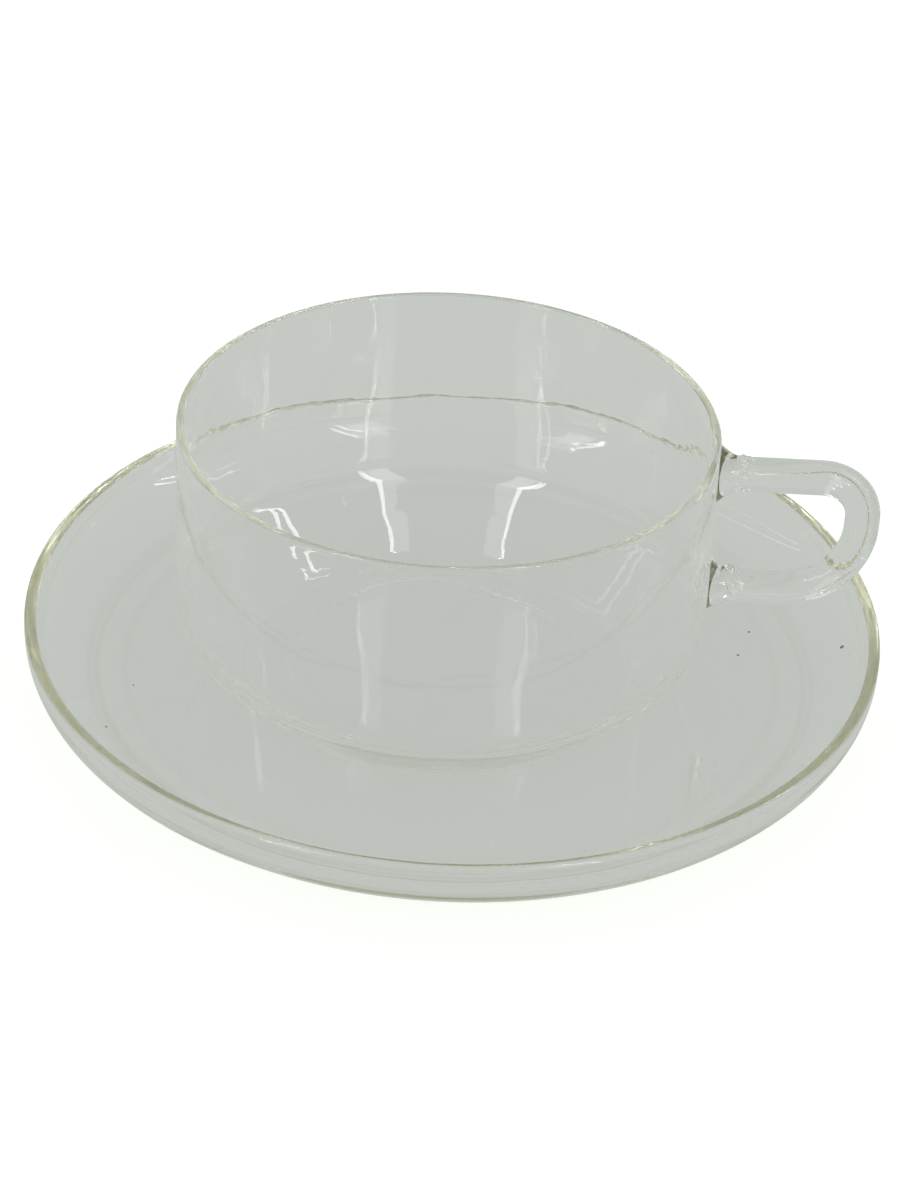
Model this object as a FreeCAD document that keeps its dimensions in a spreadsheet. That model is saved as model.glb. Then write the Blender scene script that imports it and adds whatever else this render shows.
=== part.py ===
"""Glass cup and saucer, as a parametric FreeCAD document.

The saucer is one dish of clear glass: a flat foot and floor, a wall that curves
up all round, and a fire-polished lip. The cup is one piece of blown glass: a
straight-sided bowl, drawn in by a round-edged slope to a flat base, and a handle
bent from solid glass rod, its two ends fused to the wall in flared welds.

Millimetres, +Z up. The origin is the middle of the saucer's foot, and the
handle points along +X.
"""
import FreeCAD
import Part
import Sketcher
import os

SIZES = [
    ("saucer_radius", 80.0, "outside of the lip"),
    ("saucer_height", 15.2, "foot to the top of the lip"),
    ("saucer_floor", 2.6, "thickness of the flat floor"),
    ("saucer_lip", 2.2, "thickness of the wall at the lip"),
    ("saucer_upright", 1.6, "upright band under the lip"),
    ("saucer_foot", 62.0, "radius of the flat foot"),
    ("saucer_outer_bend", 9.0, "bend where the outside turns upright"),
    ("saucer_well", 66.5, "radius of the flat floor inside"),
    ("saucer_well_bend", 5.0, "bend between the floor and the wall inside"),
    ("saucer_inner_bend", 6.0, "bend where the inside turns upright"),
    ("cup_radius", 49.3, "outside of the wall at its foot"),
    ("cup_rim_radius", 49.0, "outside of the wall at the rim"),
    ("cup_height", 54.2, "base to the top of the rim"),
    ("cup_wall", 1.4, "thickness of the wall"),
    ("cup_floor", 2.2, "thickness of the base"),
    ("cup_foot", 31.5, "radius of the flat base"),
    ("cup_heel", 8.0, "outer bend between the base and the slope"),
    ("cup_inner_heel", 7.0, "the same bend inside"),
    ("cup_bend", 8.0, "outer bend between the slope and the wall"),
    ("cup_bend_height", 18.2, "base to the foot of the straight wall"),
    ("cup_right", -2.4, "where the cup stands on the saucer, along X"),
    ("cup_back", -3.2, "where the cup stands on the saucer, along Y"),
    ("rod_radius", 3.2, "glass rod of the handle"),
    ("handle_reach", 76.1, "axis of the cup to the middle of the rod at the grip"),
    ("upper_arm", 46.1, "height of the upper arm over the base"),
    ("lower_arm", 22.0, "height of the lower arm over the base"),
    ("upper_bend", 8.0, "bend at the top of the grip"),
    ("lower_bend", 14.0, "bend at the foot of the grip"),
    ("weld_depth", 1.0, "how far the ends of the rod sink into the wall"),
    ("upper_flare", 3.2, "flare of the upper weld"),
    ("lower_flare", 2.4, "flare of the lower weld"),
    ("flare_sink", 0.45, "how far the edge of a flare runs into the wall"),
    ("bead_width", 1.6, "bead of glass round the rod at a weld, along the rod"),
    ("bead_round", 1.1, "radius of that bead's section"),
    ("bead_skin", 0.1, "how far the flare stands over the rod at the bead"),
]

doc = FreeCAD.newDocument("cup_and_saucer")
sheet = doc.addObject("Spreadsheet::Sheet", "sizes")
for row, (alias, value, note) in enumerate(SIZES, start=1):
    sheet.set(f"A{row}", alias)
    sheet.set(f"B{row}", str(value))
    sheet.set(f"C{row}", note)
    sheet.setAlias(f"B{row}", alias)
doc.recompute()

# ------------------------------------------------------------ sketching tools
ORIGIN = (-1, 1)
START, END = 0, 1


def number(expression):
    """What an expression of the sheet comes to, for a sketch's first drawing."""
    return float(sheet.evalExpression(expression))


def at(across, up):
    """A point of a sketch, from two expressions."""
    return FreeCAD.Vector(number(across), number(up), 0)


def new_body(name):
    body = doc.addObject("PartDesign::Body", name)
    body.Label = name
    return body


def new_sketch(body, name, role, lift=None, forward=None):
    """A sketch on one of the body's origin planes, lifted in it or moved off it by an expression."""
    plane = next(f for f in body.Origin.OriginFeatures if f.Role == role)
    sketch = body.newObject("Sketcher::SketchObject", name)
    sketch.AttachmentSupport = (plane, "")
    sketch.MapMode = "FlatFace"
    if lift:
        sketch.setExpression("AttachmentOffset.Base.y", lift)
    if forward:
        sketch.setExpression("AttachmentOffset.Base.z", forward)
    return sketch


def draw(sketch, *pieces):
    """Draws lines, of two points, and arcs, of three, that follow one another.

    Gives back each piece's two ends as (geometry, point) pairs. An arc runs
    anticlockwise in a sketch, so the ends of one drawn the other way change places.
    """
    drawn = []
    for start, *middle, end in pieces:
        curve = Part.Arc(start, middle[0], end) if middle else Part.LineSegment(start, end)
        index = sketch.addGeometry(curve, False)
        first, second = (index, 1), (index, 2)
        if sketch.getPoint(*second).distanceToPoint(start) < sketch.getPoint(*first).distanceToPoint(start):
            first, second = second, first
        drawn.append((first, second))
    return drawn


def meet(sketch, *pieces, kind="Coincident"):
    """Joins the end of each piece to the start of the next."""
    for first, second in zip(pieces, pieces[1:]):
        sketch.addConstraint(Sketcher.Constraint(kind, *first[END], *second[START]))


def blend(sketch, *pieces):
    """Joins pieces end to start with no corner between them."""
    meet(sketch, *pieces, kind="Tangent")


def level(sketch, *pieces):
    for piece in pieces:
        sketch.addConstraint(Sketcher.Constraint("Horizontal", piece[START][0]))


def upright(sketch, *pieces):
    for piece in pieces:
        sketch.addConstraint(Sketcher.Constraint("Vertical", piece[START][0]))


def hold(sketch, name, kind, where, expression):
    """A named dimension, driven by an expression of the sheet."""
    index = sketch.addConstraint(Sketcher.Constraint(kind, *where, number(expression)))
    sketch.renameConstraint(index, name)
    sketch.setExpression(f"Constraints.{name}", expression)


def place(sketch, name, end, across=None, up=None):
    """Holds a point at its distances from the sketch's origin."""
    if across:
        hold(sketch, f"{name}_across", "DistanceX", (*ORIGIN, *end), across)
    if up:
        hold(sketch, f"{name}_up", "DistanceY", (*ORIGIN, *end), up)


def round_off(sketch, name, piece, expression):
    """Holds an arc's radius."""
    hold(sketch, f"{name}_radius", "Radius", (piece[START][0],), expression)


def revolve(body, name, sketch, axis):
    feature = body.newObject("PartDesign::Revolution", name)
    feature.Profile = sketch
    feature.ReferenceAxis = (sketch, [axis])
    feature.Angle = 360
    return feature


# --------------------------------------------------------------------- saucer
def make_saucer():
    """One section, from the foot out to the lip and back over the floor, turned about Z."""
    body = new_body("saucer")
    section = new_sketch(body, "saucer_section", "XZ_Plane")
    foot_edge = at("sizes.saucer_foot", "0")
    outer_join = at("sizes.saucer_radius - 0.3 * sizes.saucer_outer_bend", "0.4 * sizes.saucer_height")
    lip_foot = "sizes.saucer_height - sizes.saucer_lip / 2"
    shoulder = f"{lip_foot} - sizes.saucer_upright"
    outside = "sizes.saucer_radius"
    inside = "sizes.saucer_radius - sizes.saucer_lip"
    inner_join = at(f"{inside} - 0.4 * sizes.saucer_inner_bend",
                    f"{shoulder} - 0.8 * sizes.saucer_inner_bend")
    well_join = at("sizes.saucer_well + 0.6 * sizes.saucer_well_bend",
                   "sizes.saucer_floor + 0.2 * sizes.saucer_well_bend")
    foot, sweep, outer, band, lip, inner_band, inner, wall, well, floor, axis = draw(
        section,
        (at("0", "0"), foot_edge),
        (foot_edge, at("0.5 * (sizes.saucer_foot + sizes.saucer_radius)",
                       "0.12 * sizes.saucer_height"), outer_join),
        (outer_join, at(f"{outside} - 0.08 * sizes.saucer_outer_bend",
                        f"{shoulder} - 0.4 * sizes.saucer_outer_bend"), at(outside, shoulder)),
        (at(outside, shoulder), at(outside, lip_foot)),
        (at(outside, lip_foot), at("sizes.saucer_radius - sizes.saucer_lip / 2", "sizes.saucer_height"),
         at(inside, lip_foot)),
        (at(inside, lip_foot), at(inside, shoulder)),
        (at(inside, shoulder), at(f"{inside} - 0.1 * sizes.saucer_inner_bend",
                                  f"{shoulder} - 0.43 * sizes.saucer_inner_bend"), inner_join),
        (inner_join, well_join),
        (well_join, at("sizes.saucer_well + 0.3 * sizes.saucer_well_bend",
                       "sizes.saucer_floor + 0.05 * sizes.saucer_well_bend"),
         at("sizes.saucer_well", "sizes.saucer_floor")),
        (at("sizes.saucer_well", "sizes.saucer_floor"), at("0", "sizes.saucer_floor")),
        (at("0", "sizes.saucer_floor"), at("0", "0")))
    blend(section, foot, sweep, outer, band, lip, inner_band, inner, wall, well, floor)
    meet(section, floor, axis, foot)
    section.addConstraint(Sketcher.Constraint("Coincident", *foot[START], *ORIGIN))
    level(section, foot, floor)
    upright(section, band, inner_band, axis)
    place(section, "foot", foot[END], across="sizes.saucer_foot")
    place(section, "shoulder", band[START], across=outside, up=shoulder)
    place(section, "lip", lip[START], up=lip_foot)
    place(section, "inner_shoulder", inner[START], across=inside, up=shoulder)
    place(section, "well", well[END], across="sizes.saucer_well", up="sizes.saucer_floor")
    round_off(section, "outer_bend", outer, "sizes.saucer_outer_bend")
    round_off(section, "inner_bend", inner, "sizes.saucer_inner_bend")
    round_off(section, "well_bend", well, "sizes.saucer_well_bend")
    revolve(body, "saucer_turned", section, "V_Axis")
    return body


# ------------------------------------------------------------------------ cup
def make_bowl(body):
    """The blown bowl: wall, slope and base, each running into the next, turned about Z."""
    section = new_sketch(body, "bowl_section", "XZ_Plane")
    rim, inside = "sizes.cup_rim_radius", "(sizes.cup_radius - sizes.cup_wall)"
    rim_inside = f"{rim} - sizes.cup_wall"
    lip_foot = "sizes.cup_height - sizes.cup_wall / 2"
    inner_bend = "(sizes.cup_bend - sizes.cup_wall)"
    base_edge = at("sizes.cup_foot", "0")
    heel_top = at("sizes.cup_foot + 0.72 * sizes.cup_heel", "0.31 * sizes.cup_heel")
    slope_top = at("sizes.cup_radius - 0.28 * sizes.cup_bend",
                   "sizes.cup_bend_height - 0.69 * sizes.cup_bend")
    wall_foot = at("sizes.cup_radius", "sizes.cup_bend_height")
    inner_wall_foot = at(inside, "sizes.cup_bend_height")
    inner_slope_top = at(f"{inside} - 0.28 * {inner_bend}", f"sizes.cup_bend_height - 0.69 * {inner_bend}")
    inner_heel_top = at("sizes.cup_foot + 0.72 * sizes.cup_inner_heel",
                        "sizes.cup_floor + 0.31 * sizes.cup_inner_heel")
    floor_edge = at("sizes.cup_foot", "sizes.cup_floor")
    base, heel, slope, bend, wall, lip, in_wall, in_bend, in_slope, in_heel, floor, axis = draw(
        section,
        (at("0", "0"), base_edge),
        (base_edge, at("sizes.cup_foot + 0.39 * sizes.cup_heel", "0.08 * sizes.cup_heel"), heel_top),
        (heel_top, slope_top),
        (slope_top, at("sizes.cup_radius - 0.07 * sizes.cup_bend",
                       "sizes.cup_bend_height - 0.37 * sizes.cup_bend"), wall_foot),
        (wall_foot, at(rim, lip_foot)),
        (at(rim, lip_foot), at(f"{rim} - sizes.cup_wall / 2", "sizes.cup_height"), at(rim_inside, lip_foot)),
        (at(rim_inside, lip_foot), inner_wall_foot),
        (inner_wall_foot, at(f"{inside} - 0.07 * {inner_bend}",
                             f"sizes.cup_bend_height - 0.37 * {inner_bend}"), inner_slope_top),
        (inner_slope_top, inner_heel_top),
        (inner_heel_top, at("sizes.cup_foot + 0.39 * sizes.cup_inner_heel",
                            "sizes.cup_floor + 0.08 * sizes.cup_inner_heel"), floor_edge),
        (floor_edge, at("0", "sizes.cup_floor")),
        (at("0", "sizes.cup_floor"), at("0", "0")))
    blend(section, base, heel, slope, bend, wall, lip, in_wall, in_bend, in_slope, in_heel, floor)
    meet(section, floor, axis, base)
    section.addConstraint(Sketcher.Constraint("Coincident", *base[START], *ORIGIN))
    section.addConstraint(Sketcher.Constraint("Parallel", wall[START][0], in_wall[START][0]))
    level(section, base, floor)
    upright(section, axis)
    place(section, "foot", base[END], across="sizes.cup_foot")
    place(section, "wall_foot", wall[START], across="sizes.cup_radius", up="sizes.cup_bend_height")
    place(section, "rim", wall[END], across=rim, up=lip_foot)
    place(section, "inner_wall_foot", in_wall[END], up="sizes.cup_bend_height")
    place(section, "floor", floor[START], across="sizes.cup_foot", up="sizes.cup_floor")
    round_off(section, "heel", heel, "sizes.cup_heel")
    round_off(section, "bend", bend, "sizes.cup_bend")
    round_off(section, "lip", lip, "sizes.cup_wall / 2")
    round_off(section, "inner_bend", in_bend, inner_bend)
    round_off(section, "inner_heel", in_heel, "sizes.cup_inner_heel")
    revolve(body, "bowl", section, "V_Axis")


def make_handle(body):
    """A round glass rod: out along the upper arm, down the grip, and back along the lower arm."""
    root = "sizes.cup_radius - sizes.weld_depth"
    route = new_sketch(body, "handle_route", "XZ_Plane")
    top_turn = at("sizes.handle_reach - sizes.upper_bend", "sizes.upper_arm")
    grip_top = at("sizes.handle_reach", "sizes.upper_arm - sizes.upper_bend")
    grip_foot = at("sizes.handle_reach", "sizes.lower_arm + sizes.lower_bend")
    low_turn = at("sizes.handle_reach - sizes.lower_bend", "sizes.lower_arm")
    upper, top_bend, grip, low_bend, lower = draw(
        route,
        (at(root, "sizes.upper_arm"), top_turn),
        (top_turn, at("sizes.handle_reach - 0.29 * sizes.upper_bend",
                      "sizes.upper_arm - 0.29 * sizes.upper_bend"), grip_top),
        (grip_top, grip_foot),
        (grip_foot, at("sizes.handle_reach - 0.29 * sizes.lower_bend",
                       "sizes.lower_arm + 0.29 * sizes.lower_bend"), low_turn),
        (low_turn, at(root, "sizes.lower_arm")))
    blend(route, upper, top_bend, grip, low_bend, lower)
    level(route, upper, lower)
    upright(route, grip)
    place(route, "upper_root", upper[START], across=root, up="sizes.upper_arm")
    place(route, "lower_root", lower[END], across=root, up="sizes.lower_arm")
    place(route, "grip", grip[START], across="sizes.handle_reach")
    round_off(route, "top_bend", top_bend, "sizes.upper_bend")
    round_off(route, "low_bend", low_bend, "sizes.lower_bend")

    section = new_sketch(body, "rod_section", "YZ_Plane", forward=root)
    middle = at("0", "sizes.upper_arm")
    outline = Part.Circle(middle, FreeCAD.Vector(0, 0, 1), number("sizes.rod_radius"))
    circle = section.addGeometry(outline, False)
    section.addConstraint(Sketcher.Constraint("PointOnObject", circle, 3, -2))
    hold(section, "arm_up", "DistanceY", (*ORIGIN, circle, 3), "sizes.upper_arm")
    hold(section, "rod_radius", "Radius", (circle,), "sizes.rod_radius")

    rod = body.newObject("PartDesign::AdditivePipe", "handle_rod")
    rod.Profile = section
    rod.Spine = (route, [])


def make_weld(body, name, arm, flare):
    """A weld: the rod's end spreads into a flare on the wall, behind a bead of pushed-up glass."""
    section = new_sketch(body, f"{name}_section", "XZ_Plane", lift=arm)
    root = "sizes.cup_radius - sizes.weld_depth"
    wall = "sizes.cup_radius - sizes.flare_sink"
    valley = f"{wall} + {flare}"
    bead_end = f"{valley} + sizes.bead_width"
    pad = f"sizes.rod_radius + sizes.bead_skin + {flare}"
    over, under = "sizes.rod_radius + sizes.bead_skin", "sizes.rod_radius - sizes.bead_skin"
    middle, end_face, bead, spread, edge, back = draw(
        section,
        (at(root, "0"), at(bead_end, "0")),
        (at(bead_end, "0"), at(bead_end, under)),
        (at(bead_end, under), at(f"{valley} + sizes.bead_width / 2",
                                 "sizes.rod_radius + 0.35 * sizes.bead_round"), at(valley, over)),
        (at(valley, over), at(f"{wall} + 0.29 * {flare}", f"{over} + 0.29 * {flare}"), at(wall, pad)),
        (at(wall, pad), at(root, pad)),
        (at(root, pad), at(root, "0")))
    meet(section, middle, end_face, bead, spread, edge, back, middle)
    level(section, middle, edge)
    upright(section, end_face, back)
    section.addConstraint(Sketcher.Constraint("PointOnObject", *middle[START], -1))
    place(section, "root", middle[START], across=root)
    place(section, "bead_end", end_face[END], across=bead_end, up=under)
    place(section, "valley", bead[END], across=valley, up=over)
    place(section, "edge", edge[START], across=wall, up=pad)
    round_off(section, "bead", bead, "sizes.bead_round")
    round_off(section, "spread", spread, flare)
    revolve(body, name, section, "H_Axis")


def make_cup():
    body = new_body("cup")
    make_bowl(body)
    make_handle(body)
    make_weld(body, "upper_weld", "sizes.upper_arm", "sizes.upper_flare")
    make_weld(body, "lower_weld", "sizes.lower_arm", "sizes.lower_flare")
    body.setExpression("Placement.Base.x", "sizes.cup_right")
    body.setExpression("Placement.Base.y", "sizes.cup_back")
    body.setExpression("Placement.Base.z", "sizes.saucer_floor")
    return body


# ---------------------------------------------------------------------- write
parts = [make_saucer(), make_cup()]
doc.recompute()
for item in doc.Objects:
    if {"Invalid", "Error"} & set(item.State):
        raise RuntimeError(f"{item.Name} failed: {item.State}")
for part in parts:
    if part.Shape.isNull() or not part.Shape.isValid() or len(part.Shape.Solids) != 1:
        raise RuntimeError(f"{part.Label} isn't one valid solid")
os.makedirs("parts", exist_ok=True)
for part in parts:
    part.Shape.exportStep(f"parts/{part.Label}.step")
    box = part.Shape.optimalBoundingBox()
    print(f"{part.Label}: {part.Shape.Volume / 1000:.1f} cm3, x {box.XMin:.1f} to {box.XMax:.1f}, "
          f"y {box.YMin:.1f} to {box.YMax:.1f}, z {box.ZMin:.2f} to {box.ZMax:.2f}")
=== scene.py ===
"""Glass tea cup on its saucer: looks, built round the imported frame.

Metres, +Z up, the same frame as the solids. The saucer comes first, with the dust
on it, then the cup and its rod handle, and last the table and light.
"""
import bmesh
import bpy
from math import asin, atan2, cos, hypot, pi, radians, sin
from mathutils import Matrix, Vector


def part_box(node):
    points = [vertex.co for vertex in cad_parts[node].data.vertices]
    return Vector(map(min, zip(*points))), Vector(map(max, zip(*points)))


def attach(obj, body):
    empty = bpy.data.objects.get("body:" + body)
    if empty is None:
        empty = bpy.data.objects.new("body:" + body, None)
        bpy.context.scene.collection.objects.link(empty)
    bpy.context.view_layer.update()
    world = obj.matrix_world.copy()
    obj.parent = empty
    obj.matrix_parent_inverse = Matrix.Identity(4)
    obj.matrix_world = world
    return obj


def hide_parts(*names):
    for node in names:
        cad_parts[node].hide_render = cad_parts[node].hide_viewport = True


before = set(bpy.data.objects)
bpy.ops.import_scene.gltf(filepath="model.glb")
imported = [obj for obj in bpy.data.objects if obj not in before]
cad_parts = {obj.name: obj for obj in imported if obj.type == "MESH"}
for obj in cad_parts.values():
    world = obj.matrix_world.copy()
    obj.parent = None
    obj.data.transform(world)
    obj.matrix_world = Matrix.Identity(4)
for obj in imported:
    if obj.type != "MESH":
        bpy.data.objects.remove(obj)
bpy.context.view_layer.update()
bpy.ops.object.select_all(action="DESELECT")
MM = 0.001

# ---------------------------------------------------------------- camera
# Looks down on the cup from the front, a hand's breadth over arm's reach, and
# leans a little to one side, as a camera held in the hand does.
AIM = Vector((-0.43, 0.0, 16.0)) * MM
REACH = 600.2 * MM
LOOK_DOWN = radians(33.57)
LEAN = radians(2.9)
LENS = 96.0
toward_camera = Vector((0.0, -cos(LOOK_DOWN), sin(LOOK_DOWN)))
bpy.ops.object.camera_add(location=AIM + REACH * toward_camera)
camera = bpy.context.object
camera.rotation_euler = (
    Matrix.Rotation(pi / 2 - LOOK_DOWN, 3, "X") @ Matrix.Rotation(LEAN, 3, "Z")
).to_euler()
camera.data.lens = LENS
camera.data.clip_start = 0.01
camera.data.clip_end = 50.0
bpy.context.scene.camera = camera

# ---------------------------------------------------------------- saucer
# One dish of clear heat-proof glass, pressed thick and fire-polished: a flat foot
# and floor, a wall that curves up all round, and a round lip. It is drawn as half
# a section and turned once about the upright axis.
SEGMENTS = 256
SAUCER_RADIUS = 80.0
SAUCER_FOOT = 62.0
SAUCER_FLOOR = 2.57
SAUCER_LIP_ROUND = 1.1
SAUCER_BEND_HEIGHT = 12.5
SAUCER_LIP_HEIGHT = 14.1
SAUCER_OUTER_BEND = 9.0
SAUCER_INNER_BEND = 6.0
SAUCER_WELL = 66.5
SAUCER_WELL_BEND = 5.0
EYE = 2.5  # radius of the small hole left on the axis, closed at the end with one face
WELD_TOGETHER = 0.005


def begin_section(name, middle, radius, height):
    """Start half a section of glass: one point, which the next steps draw out."""
    place = Vector((middle[0] + radius, middle[1], height)) * MM
    bpy.ops.mesh.primitive_plane_add(size=MM, location=place)
    piece = bpy.context.object
    piece.name = name
    bpy.ops.object.transform_apply(location=True)
    bpy.ops.object.mode_set(mode="EDIT")
    bpy.ops.mesh.select_mode(type="VERT")
    bpy.ops.mesh.select_all(action="SELECT")
    bpy.ops.mesh.merge(type="CENTER")
    return piece


def draw_run(across, up, steps):
    """Draw the section on in a straight line."""
    step = Vector((across, 0.0, up)) * MM / steps
    for _ in range(steps):
        bpy.ops.mesh.extrude_region_move(TRANSFORM_OT_translate={"value": step})


def draw_bend(middle, across, up, turn, steps):
    """Draw the section on round a bend; a positive turn runs anticlockwise."""
    heart = Vector((middle[0] + across, middle[1], up)) * MM
    bpy.ops.mesh.spin(steps=steps, angle=turn, center=heart, axis=(0.0, 1.0, 0.0))


def turn_section(piece, middle):
    """Turn the section once round its axis, close both eyes and face it outwards."""
    bpy.ops.mesh.select_all(action="SELECT")
    heart = Vector((middle[0], middle[1], 0.0)) * MM
    bpy.ops.mesh.spin(steps=SEGMENTS, angle=2 * pi, center=heart, axis=(0.0, 0.0, 1.0))
    bpy.ops.mesh.select_all(action="SELECT")
    bpy.ops.mesh.remove_doubles(threshold=WELD_TOGETHER * MM)
    bpy.ops.mesh.select_all(action="DESELECT")
    bpy.ops.mesh.select_mode(type="EDGE")
    shape = bmesh.from_edit_mesh(piece.data)
    for edge in shape.edges:
        edge.select_set(edge.is_boundary)
    bmesh.update_edit_mesh(piece.data)
    bpy.ops.mesh.edge_face_add()
    bpy.ops.mesh.select_all(action="SELECT")
    bpy.ops.mesh.normals_make_consistent(inside=False)
    bpy.ops.object.mode_set(mode="OBJECT")


HERE = (0.0, 0.0)
saucer = begin_section("saucer_glass_dish", HERE, EYE, 0.0)
draw_run(SAUCER_FOOT - EYE, 0.0, steps=30)
bend_middle = SAUCER_RADIUS - SAUCER_OUTER_BEND
spread = bend_middle - SAUCER_FOOT
belly = (spread ** 2 + SAUCER_BEND_HEIGHT ** 2 - SAUCER_OUTER_BEND ** 2) / (
    2 * (SAUCER_BEND_HEIGHT - SAUCER_OUTER_BEND))
rise = atan2(spread, belly - SAUCER_BEND_HEIGHT)
draw_bend(HERE, SAUCER_FOOT, belly, rise, steps=14)
draw_bend(HERE, bend_middle, SAUCER_BEND_HEIGHT, pi / 2 - rise, steps=8)
draw_run(0.0, SAUCER_LIP_HEIGHT - SAUCER_BEND_HEIGHT, steps=2)
draw_bend(HERE, SAUCER_RADIUS - SAUCER_LIP_ROUND, SAUCER_LIP_HEIGHT, pi, steps=16)
draw_run(0.0, SAUCER_BEND_HEIGHT - SAUCER_LIP_HEIGHT, steps=2)
inner_middle = SAUCER_RADIUS - 2 * SAUCER_LIP_ROUND - SAUCER_INNER_BEND
well_middle = SAUCER_FLOOR + SAUCER_WELL_BEND
between = Vector((inner_middle - SAUCER_WELL, SAUCER_BEND_HEIGHT - well_middle))
slope = atan2(between.y, between.x) - asin(
    (SAUCER_INNER_BEND - SAUCER_WELL_BEND) / between.length)
draw_bend(HERE, inner_middle, SAUCER_BEND_HEIGHT, slope - pi / 2, steps=10)
outward = Vector((sin(slope), -cos(slope)))
side = (Vector((SAUCER_WELL, well_middle)) + SAUCER_WELL_BEND * outward
        - Vector((inner_middle, SAUCER_BEND_HEIGHT)) - SAUCER_INNER_BEND * outward)
draw_run(side.x, side.y, steps=6)
draw_bend(HERE, SAUCER_WELL, well_middle, -slope, steps=8)
draw_run(EYE - SAUCER_WELL, 0.0, steps=34)
turn_section(saucer, HERE)
bpy.ops.object.shade_smooth()

# The heat leaves slow waves in the wall, while the foot and the lip stay true.
SAUCER_WAVE_SIZE = 22.0
SAUCER_WAVE_DEPTH = 0.12
SAUCER_WAVE_GROWTH = 2.0
SAUCER_WAVE_TOP = 13.0
SAUCER_WAVE_FADE = 3.0


def saucer_freedom(point):
    """The wall waves; the foot and the lip hold still."""
    return min(point.z / SAUCER_WAVE_GROWTH, (SAUCER_WAVE_TOP - point.z) / SAUCER_WAVE_FADE)


def let_move(piece, name, freedom):
    """Mark how far each point of the glass may move in the heat, from 0 to 1."""
    free = piece.vertex_groups.new(name=name)
    for point in piece.data.vertices:
        free.add([point.index], min(max(freedom(point.co / MM), 0.0), 1.0), "REPLACE")


def let_wave(piece, name, basis, size, depth, direction):
    """Bend the free part of a piece of glass in waves, as the heat leaves it."""
    waves = bpy.data.textures.new(f"{piece.name}_{direction.lower()}", type="CLOUDS")
    waves.noise_basis = basis
    waves.noise_scale = size * MM
    waves.noise_depth = 0
    warp = piece.modifiers.new(waves.name, "DISPLACE")
    warp.texture = waves
    warp.texture_coords = "LOCAL"
    warp.direction = direction
    warp.strength = depth * MM
    warp.mid_level = 0.5
    warp.vertex_group = name
    bpy.ops.object.modifier_apply(modifier=waves.name)


let_move(saucer, "wall", saucer_freedom)
let_wave(saucer, "wall", "ORIGINAL_PERLIN", SAUCER_WAVE_SIZE, SAUCER_WAVE_DEPTH, "NORMAL")

# Clear glass, all but colourless: it shows its straw-green only end on, along the
# rims and where it is thick. Slow ripples from the heat bend what is seen in it.
GLASS_IOR = 1.47
SAUCER_TINT = (0.76, 0.76, 0.6, 1.0)
SAUCER_TINT_DENSITY = 10.0
SLOW_DETAIL = 1.5
RING_DETAIL = 1.0
RING_STRETCH = (0.25, 0.25, 1.0)


def heat_ripples():
    """A group: slow waves and fine rings in a fire-polished surface, as a height."""
    group = bpy.data.node_groups.new("heat_ripples", "ShaderNodeTree")
    face = group.interface
    for name in ("Slow Size", "Ring Size", "Ring Depth"):
        face.new_socket(name, in_out="INPUT", socket_type="NodeSocketFloat")
    face.new_socket("Height", in_out="OUTPUT", socket_type="NodeSocketFloat")
    nodes, links = group.nodes, group.links
    given = nodes.new("NodeGroupInput")
    made = nodes.new("NodeGroupOutput")
    place = nodes.new("ShaderNodeTexCoord")
    slow = nodes.new("ShaderNodeTexNoise")
    slow.inputs["Detail"].default_value = SLOW_DETAIL
    links.new(place.outputs["Object"], slow.inputs["Vector"])
    links.new(given.outputs["Slow Size"], slow.inputs["Scale"])
    stretch = nodes.new("ShaderNodeMapping")
    stretch.inputs["Scale"].default_value = RING_STRETCH
    links.new(place.outputs["Object"], stretch.inputs["Vector"])
    rings = nodes.new("ShaderNodeTexNoise")
    rings.inputs["Detail"].default_value = RING_DETAIL
    links.new(stretch.outputs["Vector"], rings.inputs["Vector"])
    links.new(given.outputs["Ring Size"], rings.inputs["Scale"])
    both = nodes.new("ShaderNodeMath")
    both.operation = "MULTIPLY_ADD"
    links.new(rings.outputs["Fac"], both.inputs[0])
    links.new(given.outputs["Ring Depth"], both.inputs[1])
    links.new(slow.outputs["Fac"], both.inputs[2])
    links.new(both.outputs[0], made.inputs["Height"])
    return group


def clear_glass(name, tint_colour, tint_density, slow_size, ring_size, ring_depth, depth):
    """Clear glass: a colour that deepens with its thickness, and ripples as deep as said."""
    glass = bpy.data.materials.new(name)
    glass.use_nodes = True
    nodes, links = glass.node_tree.nodes, glass.node_tree.links
    surface = nodes["Principled BSDF"]
    surface.inputs["Base Color"].default_value = (1.0, 1.0, 1.0, 1.0)
    surface.inputs["Roughness"].default_value = 0.0
    surface.inputs["IOR"].default_value = GLASS_IOR
    surface.inputs["Transmission Weight"].default_value = 1.0
    ripples = nodes.new("ShaderNodeGroup")
    ripples.node_tree = bpy.data.node_groups["heat_ripples"]
    ripples.inputs["Slow Size"].default_value = slow_size
    ripples.inputs["Ring Size"].default_value = ring_size
    ripples.inputs["Ring Depth"].default_value = ring_depth
    bump = nodes.new("ShaderNodeBump")
    bump.inputs["Distance"].default_value = depth * MM
    bump.inputs["Strength"].default_value = 1.0
    links.new(ripples.outputs["Height"], bump.inputs["Height"])
    links.new(bump.outputs["Normal"], surface.inputs["Normal"])
    tint = nodes.new("ShaderNodeVolumeAbsorption")
    tint.inputs["Color"].default_value = tint_colour
    tint.inputs["Density"].default_value = tint_density
    links.new(tint.outputs["Volume"], nodes["Material Output"].inputs["Volume"])
    return glass


heat_ripples()
saucer_clear = clear_glass("saucer_glass_clear", SAUCER_TINT, SAUCER_TINT_DENSITY,
                           slow_size=45.0, ring_size=700.0, ring_depth=0.02, depth=0.15)
saucer.data.materials.append(saucer_clear)

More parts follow.
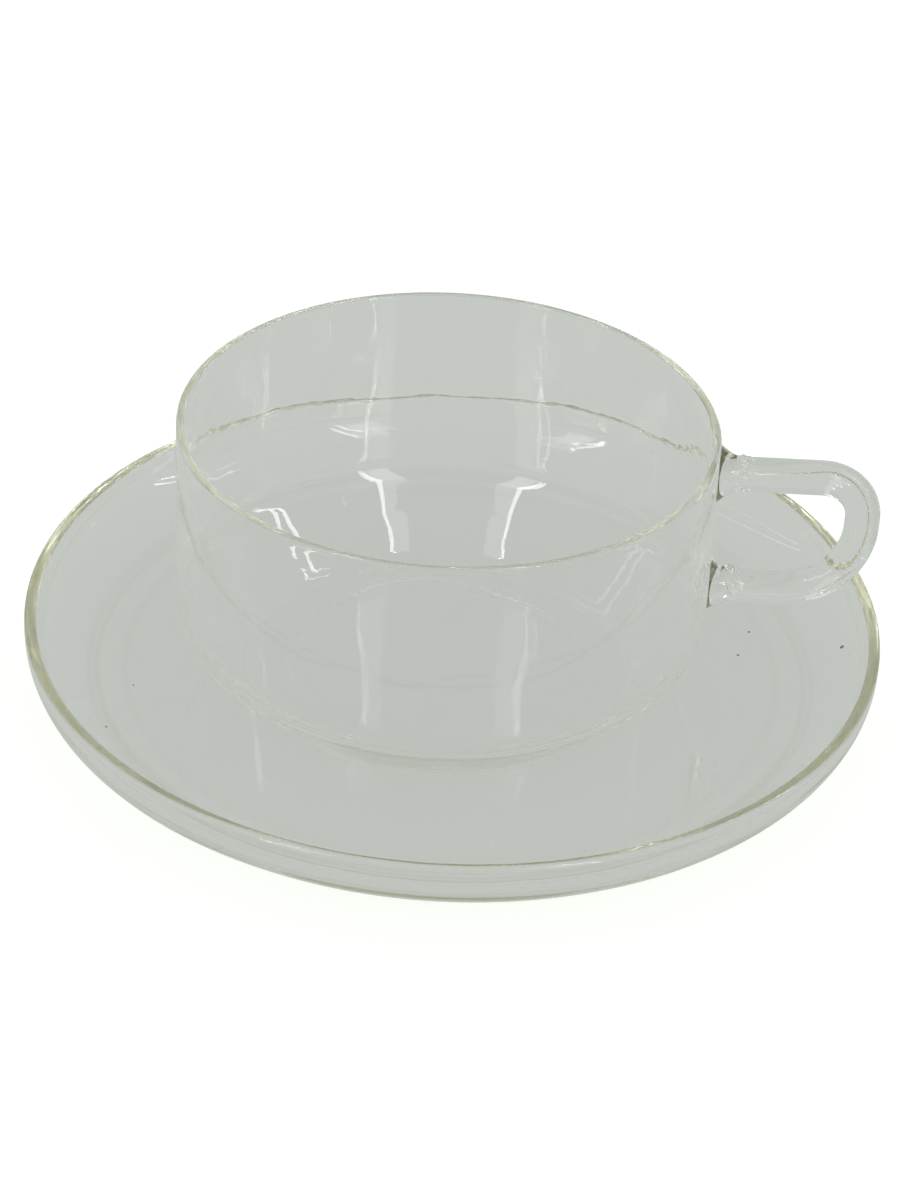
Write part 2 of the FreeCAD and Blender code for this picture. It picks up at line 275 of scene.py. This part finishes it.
# Faint rings of painted shade, darker and warmer, where the foot ends and the wall turns up, each
# with its radius and how light the glass is painted there;
# and specks of real dust, each with its place across, back and up, and its radius.
PAINTED_SHADE_RINGS = ((0.0, 0.99), (60.4, 0.99), (61.6, 0.975), (63.2, 1.0), (66.0, 1.0), (66.8, 0.96),
              (67.6, 0.99), (68.6, 0.965), (69.4, 1.0))
PAINTED_SHADE_WARMTH = 1.4
DUST = ((-69.3, 13.9, 5.1, 0.45), (-62.3, -27.8, 2.6, 0.35), (57.4, 14.3, 2.6, 0.28),
        (54.9, 6.2, 2.6, 0.28), (74.15, 4.3, 7.0, 0.45), (-58.8, -13.8, 2.6, 0.2),
        (-75.0, 25.0, 8.0, 0.2))
DUST_COLOUR = (0.08, 0.06, 0.05, 1.0)


def painted_shade_rings_and_dust():
    """A group: painted shade in faint rings where the wall turns up and the foot ends, and specks of
    real dust.
    """
    group = bpy.data.node_groups.new("painted_shade_rings_and_dust", "ShaderNodeTree")
    face = group.interface
    face.new_socket("Painted Shade", in_out="INPUT", socket_type="NodeSocketFloat").default_value = 1.0
    face.new_socket("Color", in_out="OUTPUT", socket_type="NodeSocketColor")
    nodes, links = group.nodes, group.links
    given = nodes.new("NodeGroupInput")
    made = nodes.new("NodeGroupOutput")
    place = nodes.new("ShaderNodeTexCoord")
    flat = nodes.new("ShaderNodeVectorMath")
    flat.operation = "MULTIPLY"
    flat.inputs[1].default_value = (1.0, 1.0, 0.0)
    links.new(place.outputs["Object"], flat.inputs[0])
    radius = nodes.new("ShaderNodeVectorMath")
    radius.operation = "LENGTH"
    links.new(flat.outputs[0], radius.inputs[0])
    share = nodes.new("ShaderNodeMath")
    share.operation = "DIVIDE"
    share.inputs[1].default_value = SAUCER_RADIUS * MM
    links.new(radius.outputs["Value"], share.inputs[0])
    rings = nodes.new("ShaderNodeValToRGB")
    while len(rings.color_ramp.elements) < len(PAINTED_SHADE_RINGS):
        rings.color_ramp.elements.new(1.0)
    for stop, (ring, clear) in zip(rings.color_ramp.elements, PAINTED_SHADE_RINGS):
        stop.position = ring / SAUCER_RADIUS
        stop.color = (clear, clear, clear ** PAINTED_SHADE_WARMTH, 1.0)
    links.new(share.outputs[0], rings.inputs["Fac"])
    dust = None
    for across, back, height, size in DUST:
        away = nodes.new("ShaderNodeVectorMath")
        away.operation = "DISTANCE"
        away.inputs[1].default_value = Vector((across, back, height)) * MM
        links.new(place.outputs["Object"], away.inputs[0])
        speck = nodes.new("ShaderNodeMath")
        speck.operation = "LESS_THAN"
        speck.inputs[1].default_value = size * MM
        links.new(away.outputs["Value"], speck.inputs[0])
        if dust:
            both = nodes.new("ShaderNodeMath")
            both.operation = "MAXIMUM"
            links.new(dust, both.inputs[0])
            links.new(speck.outputs[0], both.inputs[1])
            dust = both.outputs[0]
        else:
            dust = speck.outputs[0]
    painted_shade = nodes.new("ShaderNodeMix")
    painted_shade.data_type = "RGBA"
    painted_shade.inputs["A"].default_value = (1.0, 1.0, 1.0, 1.0)
    links.new(given.outputs["Painted Shade"], painted_shade.inputs["Factor"])
    links.new(rings.outputs["Color"], painted_shade.inputs["B"])
    specked = nodes.new("ShaderNodeMix")
    specked.data_type = "RGBA"
    specked.inputs["B"].default_value = DUST_COLOUR
    links.new(dust, specked.inputs["Factor"])
    links.new(painted_shade.outputs["Result"], specked.inputs["A"])
    links.new(specked.outputs["Result"], made.inputs["Color"])
    return group


# The rings are painted shade in the saucer's colour. They stand in for the shading where the foot
# and the bend turn the light. The specks are real dust.
nodes, links = saucer_clear.node_tree.nodes, saucer_clear.node_tree.links
painted_shade = nodes.new("ShaderNodeGroup")
painted_shade.node_tree = painted_shade_rings_and_dust()
links.new(painted_shade.outputs["Color"], nodes["Principled BSDF"].inputs["Base Color"])
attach(saucer, "root")
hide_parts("saucer")

# ---------------------------------------------------------------- cup
# The bowl is blown from the same clear glass: a flat base, barely hollowed
# underneath, a straight slope between two bends, and a thin straight wall with a
# fire-polished rim. The heel is left a little thicker, and its glass shows there.
cup_low, cup_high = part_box("cup")
CUP_RADIUS = (cup_high[1] - cup_low[1]) / 2 / MM
CUP_STAND = cup_low[2] / MM
CUP_MIDDLE = (cup_low[0] / MM + CUP_RADIUS, (cup_low[1] + cup_high[1]) / 2 / MM)
CUP_RIM_RADIUS = 49.0
CUP_RIM_HEIGHT = 53.5
CUP_RIM_ROUND = 0.7
CUP_WALL = 1.4
CUP_FLOOR = 2.2
CUP_FOOT = 31.5
CUP_HEEL = 8.0
CUP_INNER_HEEL = 7.0
CUP_BEND = 8.0
CUP_BEND_HEIGHT = 18.2
CUP_HOLLOW_RADIUS = 27.0
CUP_HOLLOW = 0.25
CUP_HOLLOW_EDGE = 1.6
WALL_ROWS = 30


def slope_between(low, low_round, high, high_round):
    """The straight line that runs on from one bend and into the next: its tilt and reach."""
    across = high - low
    tilt = atan2(across.y, across.x) + asin((low_round - high_round) / across.length)
    outward = Vector((sin(tilt), -cos(tilt)))
    return tilt, high + high_round * outward - low - low_round * outward


heel = Vector((CUP_FOOT, CUP_HEEL))
inner_heel = Vector((CUP_FOOT, CUP_FLOOR + CUP_INNER_HEEL))
bend = Vector((CUP_RADIUS - CUP_BEND, CUP_BEND_HEIGHT))
outer_tilt, outer_slope = slope_between(heel, CUP_HEEL, bend, CUP_BEND)
inner_tilt, inner_slope = slope_between(inner_heel, CUP_INNER_HEEL, bend, CUP_BEND - CUP_WALL)
cup = begin_section("cup_glass_bowl", CUP_MIDDLE, EYE, CUP_STAND + CUP_HOLLOW)
draw_run(CUP_HOLLOW_RADIUS - EYE, 0.0, steps=12)
draw_run(CUP_HOLLOW_EDGE, -CUP_HOLLOW, steps=4)
draw_run(CUP_FOOT - CUP_HOLLOW_RADIUS - CUP_HOLLOW_EDGE, 0.0, steps=3)
draw_bend(CUP_MIDDLE, CUP_FOOT, CUP_STAND + heel.y, outer_tilt, steps=10)
draw_run(outer_slope.x, outer_slope.y, steps=14)
draw_bend(CUP_MIDDLE, bend.x, CUP_STAND + bend.y, pi / 2 - outer_tilt, steps=10)
draw_run(CUP_RIM_RADIUS - CUP_RADIUS, CUP_RIM_HEIGHT - CUP_BEND_HEIGHT, WALL_ROWS)
draw_bend(CUP_MIDDLE, CUP_RIM_RADIUS - CUP_RIM_ROUND, CUP_STAND + CUP_RIM_HEIGHT, pi, steps=12)
draw_run(CUP_RADIUS - CUP_RIM_RADIUS, CUP_BEND_HEIGHT - CUP_RIM_HEIGHT, WALL_ROWS)
draw_bend(CUP_MIDDLE, bend.x, CUP_STAND + bend.y, inner_tilt - pi / 2, steps=10)
draw_run(-inner_slope.x, -inner_slope.y, steps=14)
draw_bend(CUP_MIDDLE, CUP_FOOT, CUP_STAND + inner_heel.y, -inner_tilt, steps=10)
draw_run(EYE - CUP_FOOT, 0.0, steps=16)
turn_section(cup, CUP_MIDDLE)

# ---------------------------------------------------------------- handle
# One round glass rod, bent by hand in the flame. Both ends are pressed on to the
# wall while soft, so each flares out over it and the rod wrinkles up behind it.
ROD_RADIUS = 3.2
UPPER_ARM = 46.1
LOWER_ARM = 22.0
HANDLE_REACH = 76.1
UPPER_BEND = 8.0
LOWER_BEND = 14.0
WELD_HALF_WIDTH = 5.0  # in faces of the wall
LAST_GAP = 0.6  # closed by joining the rod's two ends
# At the wall a flare stands this far above and below the rod, and a fifth as far
# beside it. It dies away over its reach, and close rows of points follow for folds.
UPPER_FLARE = 2.8
UPPER_FLARE_REACH = 4.0
LOWER_FLARE = 2.3
LOWER_FLARE_REACH = 3.4
FLARE_STEPS = 9
FLARE_HOLLOW = 1.6
FLARE_SIDEWAYS = 0.2
FLARE_FLATTEN = 0.7
FOLD_ROWS = 9
FOLD_REACH = 2.4


def loop_points(piece):
    """The points picked in edit mode, as mesh points that can be read and moved."""
    return [point for point in bmesh.from_edit_mesh(piece.data).verts if point.select]


def loop_middle(piece):
    """The mean place of the points picked."""
    points = loop_points(piece)
    return sum((point.co for point in points), Vector()) / len(points)


def loop_radius(piece, heart):
    """How far the points picked lie from the rod's axis, on average."""
    points = loop_points(piece)
    return sum(hypot(point.co.y - heart.y, point.co.z - heart.z) for point in points) / len(points)


def open_wall(piece, height):
    """Take a square patch out of the outer wall and pick its edge, ready for a weld."""
    side = 2 * pi * CUP_RADIUS * MM / SEGMENTS
    reach = (WELD_HALF_WIDTH + 0.1) * side
    middle_y = CUP_MIDDLE[1] * MM
    rows = (CUP_RIM_HEIGHT - CUP_BEND_HEIGHT) / WALL_ROWS * MM
    level = (CUP_STAND + CUP_BEND_HEIGHT) * MM
    level += round(((CUP_STAND + height) * MM - level) / rows) * rows
    bpy.ops.mesh.select_mode(type="FACE")
    bpy.ops.mesh.select_all(action="DESELECT")
    shape = bmesh.from_edit_mesh(piece.data)
    for face in shape.faces:
        heart = face.calc_center_median()
        outside = heart.x > CUP_MIDDLE[0] * MM and face.normal.x > 0.5
        beside = abs(heart.y - middle_y) < reach and abs(heart.z - level) < reach
        face.select_set(outside and beside)
    bmesh.update_edit_mesh(piece.data)
    bpy.ops.mesh.delete(type="FACE")
    bpy.ops.mesh.select_mode(type="EDGE")
    bpy.ops.mesh.select_all(action="DESELECT")
    shape = bmesh.from_edit_mesh(piece.data)
    for edge in shape.edges:
        middle = (edge.verts[0].co + edge.verts[1].co) / 2
        edge.select_set(edge.is_boundary and abs(middle.z - level) < 2 * reach)
    bmesh.update_edit_mesh(piece.data)
    return Vector((0.0, middle_y, (CUP_STAND + height) * MM))


def flare_out(piece, heart, flare, reach):
    """Round the opening, lay it on the wall and draw it out into the rod's end."""
    bpy.ops.transform.tosphere(value=1.0)
    swell = MM / loop_radius(piece, heart)
    wide, tall = ROD_RADIUS + FLARE_SIDEWAYS * flare, ROD_RADIUS + flare
    here = loop_middle(piece)
    bpy.ops.transform.translate(value=(0.0, heart.y - here.y, heart.z - here.z))
    bpy.ops.transform.resize(value=(1.0, swell * wide, swell * tall), center_override=heart)
    for point in loop_points(piece):
        across = point.co.y - CUP_MIDDLE[1] * MM
        height = point.co.z / MM - CUP_STAND - CUP_BEND_HEIGHT
        taper = max(height, 0.0) / (CUP_RIM_HEIGHT - CUP_BEND_HEIGHT)
        drop = CUP_BEND - (CUP_BEND ** 2 - min(height, 0.0) ** 2) ** 0.5
        radius = (CUP_RADIUS - drop + taper * (CUP_RIM_RADIUS - CUP_RADIUS)) * MM
        point.co.x = CUP_MIDDLE[0] * MM + (radius ** 2 - across ** 2) ** 0.5
    bmesh.update_edit_mesh(piece.data)
    bpy.ops.mesh.mark_sharp()
    for step in range(1, FLARE_STEPS + 1):
        before, now = (flare * (1 - done / FLARE_STEPS) ** FLARE_HOLLOW for done in (step - 1, step))
        narrow = (ROD_RADIUS + FLARE_SIDEWAYS * now) / (ROD_RADIUS + FLARE_SIDEWAYS * before)
        lower = (ROD_RADIUS + now) / (ROD_RADIUS + before)
        out = reach / FLARE_STEPS * MM
        bpy.ops.mesh.extrude_region_move(TRANSFORM_OT_translate={"value": (out, 0.0, 0.0)})
        here = loop_middle(piece)
        bpy.ops.transform.resize(value=(FLARE_FLATTEN, narrow, lower), center_override=here)


def draw_fold_rows(piece, heart):
    """Close rows of points behind the flare, true to the rod, that the folds are pushed out of."""
    for _ in range(FOLD_ROWS):
        step = (FOLD_REACH / FOLD_ROWS * MM, 0.0, 0.0)
        bpy.ops.mesh.extrude_region_move(TRANSFORM_OT_translate={"value": step})
        here = loop_middle(piece)
        here.y, here.z = heart.y, heart.z
        bpy.ops.transform.resize(value=(0.0, 1.0, 1.0), center_override=here)
        bpy.ops.transform.tosphere(value=1.0)
        shrink = ROD_RADIUS * MM / loop_radius(piece, heart)
        bpy.ops.transform.resize(value=(1.0, shrink, shrink), center_override=here)


bpy.ops.object.mode_set(mode="EDIT")
lower_heart = open_wall(cup, LOWER_ARM)
flare_out(cup, lower_heart, LOWER_FLARE, LOWER_FLARE_REACH)
draw_fold_rows(cup, lower_heart)
lower_end = loop_middle(cup)
upper_heart = open_wall(cup, UPPER_ARM)
flare_out(cup, upper_heart, UPPER_FLARE, UPPER_FLARE_REACH)
draw_fold_rows(cup, upper_heart)
upper_end = loop_middle(cup)
grip = CUP_MIDDLE[0] + HANDLE_REACH
start = loop_middle(cup).x / MM
draw_run(grip - UPPER_BEND - start, 0.0, steps=9)
upper_level = CUP_STAND + UPPER_ARM - UPPER_BEND
draw_bend(CUP_MIDDLE, HANDLE_REACH - UPPER_BEND, upper_level, -pi / 2, steps=16)
draw_run(0.0, LOWER_ARM + LOWER_BEND - UPPER_ARM + UPPER_BEND, steps=2)
lower_level = CUP_STAND + LOWER_ARM + LOWER_BEND
draw_bend(CUP_MIDDLE, HANDLE_REACH - LOWER_BEND, lower_level, -pi / 2, steps=24)
draw_run(lower_end.x / MM + LAST_GAP - grip + LOWER_BEND, 0.0, steps=7)
shape = bmesh.from_edit_mesh(cup.data)
for edge in shape.edges:
    edge.select_set(edge.is_boundary)
bmesh.update_edit_mesh(cup.data)
bpy.ops.mesh.bridge_edge_loops()
bpy.ops.mesh.select_all(action="SELECT")
bpy.ops.mesh.normals_make_consistent(inside=False)
bpy.ops.object.mode_set(mode="OBJECT")
bpy.ops.object.shade_smooth()

# The blown wall is full of slow waves, which the bright lines wander along. Each
# has its kind of noise, its size, its depth and the way that it pushes the glass.
CUP_WAVES = (("ORIGINAL_PERLIN", 13.0, 0.28, "X"), ("IMPROVED_PERLIN", 13.0, 0.28, "Y"),
             ("BLENDER_ORIGINAL", 17.0, 0.12, "NORMAL"), ("ORIGINAL_PERLIN", 7.0, 0.035, "NORMAL"))
CUP_WAVE_START = 8.0
CUP_WAVE_GROWTH = 14.0
CUP_WAVE_FADE = 8.0
WELD_FADE = 1.0
FOLD_SIZE = 2.0
FOLD_DEPTH = 1.9
FOLD_LEAD = 0.4
FOLD_GROWTH = 0.5
FOLD_FADE = 0.8


def cup_freedom(point):
    """The bowl waves most halfway up; its base, its rim and the rod hold still."""
    up = point.z - CUP_STAND
    out = hypot(point.x - CUP_MIDDLE[0], point.y - CUP_MIDDLE[1])
    return min((up - CUP_WAVE_START) / CUP_WAVE_GROWTH, (CUP_RIM_HEIGHT - up) / CUP_WAVE_FADE,
               CUP_RADIUS + WELD_FADE - out)


def fold_freedom(point):
    """The folds are pushed up just behind each flare, and die away along the rod."""
    halfway = CUP_STAND + (UPPER_ARM + LOWER_ARM) / 2
    end = (upper_end if point.z > halfway else lower_end).x / MM
    return min((point.x - end + FOLD_REACH + FOLD_LEAD) / FOLD_GROWTH, (end - point.x) / FOLD_FADE)


let_move(cup, "bowl", cup_freedom)
for basis, size, depth, direction in CUP_WAVES:
    let_wave(cup, "bowl", basis, size, depth, direction)
let_move(cup, "folds", fold_freedom)
let_wave(cup, "folds", "ORIGINAL_PERLIN", FOLD_SIZE, FOLD_DEPTH, "NORMAL")

# The same clear glass as the saucer's, thinner and a little less coloured.
CUP_TINT = (0.7, 0.7, 0.5, 1.0)
CUP_TINT_DENSITY = 3.4
cup.data.materials.append(clear_glass("cup_glass_clear", CUP_TINT, CUP_TINT_DENSITY,
                                      slow_size=60.0, ring_size=1000.0, ring_depth=0.04, depth=0.15))
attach(cup, "root")
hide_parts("cup")

# ---------------------------------------------------------------- table and light
# A plain white table that keeps the soft shadow, an even sky of soft light, narrow
# lamps that draw bright lines in the walls of the glass, and two wide, faint ones.
TABLE_SIZE = 6.0
TABLE_DROP = 0.1
TABLE_GREY = 0.25
TABLE_GREY_BEHIND_GLASS = 0.085
TABLE_WHITE = (0.985, 1.03, 0.965, 1.0)
TABLE_GLOW = 0.85
TABLE_GLOW_BEHIND_GLASS = 0.5
SKY_WHITE = (0.975, 1.02, 1.0, 1.0)
SKY_SEEN = 1.1
SKY_LEVEL = 0.85
SKY_BEHIND_GLASS = 0.55

bpy.ops.mesh.primitive_plane_add(size=TABLE_SIZE, location=(0.0, 0.0, -TABLE_DROP * MM))
table = bpy.context.object
table.name = "table"


def seen_by(nodes, links, camera_value, glass_value, other_value):
    """A number that differs for what the camera sees, what glass shows and the rest."""
    path = nodes.new("ShaderNodeLightPath")
    through = nodes.new("ShaderNodeMath")
    through.operation = "MAXIMUM"
    links.new(path.outputs["Is Glossy Ray"], through.inputs[0])
    links.new(path.outputs["Is Transmission Ray"], through.inputs[1])
    unlit = nodes.new("ShaderNodeMath")
    unlit.operation = "LESS_THAN"
    unlit.inputs[1].default_value = 0.5
    links.new(path.outputs["Diffuse Depth"], unlit.inputs[0])
    shown = nodes.new("ShaderNodeMath")
    shown.operation = "MULTIPLY"
    links.new(through.outputs[0], shown.inputs[0])
    links.new(unlit.outputs[0], shown.inputs[1])
    glass = nodes.new("ShaderNodeMix")
    glass.inputs["A"].default_value = other_value
    glass.inputs["B"].default_value = glass_value
    links.new(shown.outputs[0], glass.inputs["Factor"])
    whole = nodes.new("ShaderNodeMix")
    links.new(path.outputs["Is Camera Ray"], whole.inputs["Factor"])
    links.new(glass.outputs["Result"], whole.inputs["A"])
    whole.inputs["B"].default_value = camera_value
    return whole.outputs["Result"]


white = bpy.data.materials.new("table_white")
white.use_nodes = True
nodes, links = white.node_tree.nodes, white.node_tree.links
nodes.remove(nodes["Principled BSDF"])
matt = nodes.new("ShaderNodeBsdfDiffuse")
grey = seen_by(nodes, links, TABLE_GREY, TABLE_GREY_BEHIND_GLASS, TABLE_GREY)
links.new(grey, matt.inputs["Color"])
glow = nodes.new("ShaderNodeEmission")
glow.inputs["Color"].default_value = TABLE_WHITE
glow_level = seen_by(nodes, links, TABLE_GLOW, TABLE_GLOW_BEHIND_GLASS, 0.0)
links.new(glow_level, glow.inputs["Strength"])
together = nodes.new("ShaderNodeAddShader")
links.new(matt.outputs["BSDF"], together.inputs[0])
links.new(glow.outputs["Emission"], together.inputs[1])
links.new(together.outputs["Shader"], nodes["Material Output"].inputs["Surface"])
table.data.materials.append(white)

sky = bpy.data.worlds.new("soft_sky")
sky.use_nodes = True
nodes, links = sky.node_tree.nodes, sky.node_tree.links
background = nodes["Background"]
background.inputs["Color"].default_value = SKY_WHITE
sky_level = seen_by(nodes, links, SKY_SEEN, SKY_BEHIND_GLASS, SKY_LEVEL)
links.new(sky_level, background.inputs["Strength"])
bpy.context.scene.world = sky

# Each lamp stands upright at its own azimuth, in degrees to the right of the camera's
# side, with its level and its width in metres. None of them lights the table.
LAMPS = ((37.2, 14.0, 0.025), (-42.0, 14.0, 0.025), (92.4, 9.0, 0.025), (-110.0, 2.0, 0.025),
         (30.5, 1.7, 0.15), (-35.5, 1.7, 0.15))
LAMP_FAR = 1.1
LAMP_UP = 34.0
LAMP_HEIGHT = 0.8
for number, (azimuth, level, width) in enumerate(LAMPS, start=1):
    turn, up = radians(azimuth), radians(LAMP_UP)
    place = LAMP_FAR * Vector((sin(turn) * cos(up), -cos(turn) * cos(up), sin(up)))
    bpy.ops.object.light_add(type="AREA", location=place)
    lamp = bpy.context.object
    lamp.name = f"lamp_{number}"
    lamp.data.shape = "RECTANGLE"
    lamp.data.size = width
    lamp.data.size_y = LAMP_HEIGHT
    lamp.data.energy = level * pi * width * LAMP_HEIGHT
    lamp.rotation_euler = place.to_track_quat("Z", "Y").to_euler()
    lamp.visible_diffuse = False

# In thin glass light runs far along the wall before it comes out again.
BOUNCES = 256
scene = bpy.context.scene
scene.cycles.max_bounces = BOUNCES
scene.cycles.transmission_bounces = BOUNCES
scene.cycles.glossy_bounces = BOUNCES
scene.view_settings.view_transform = "Standard"
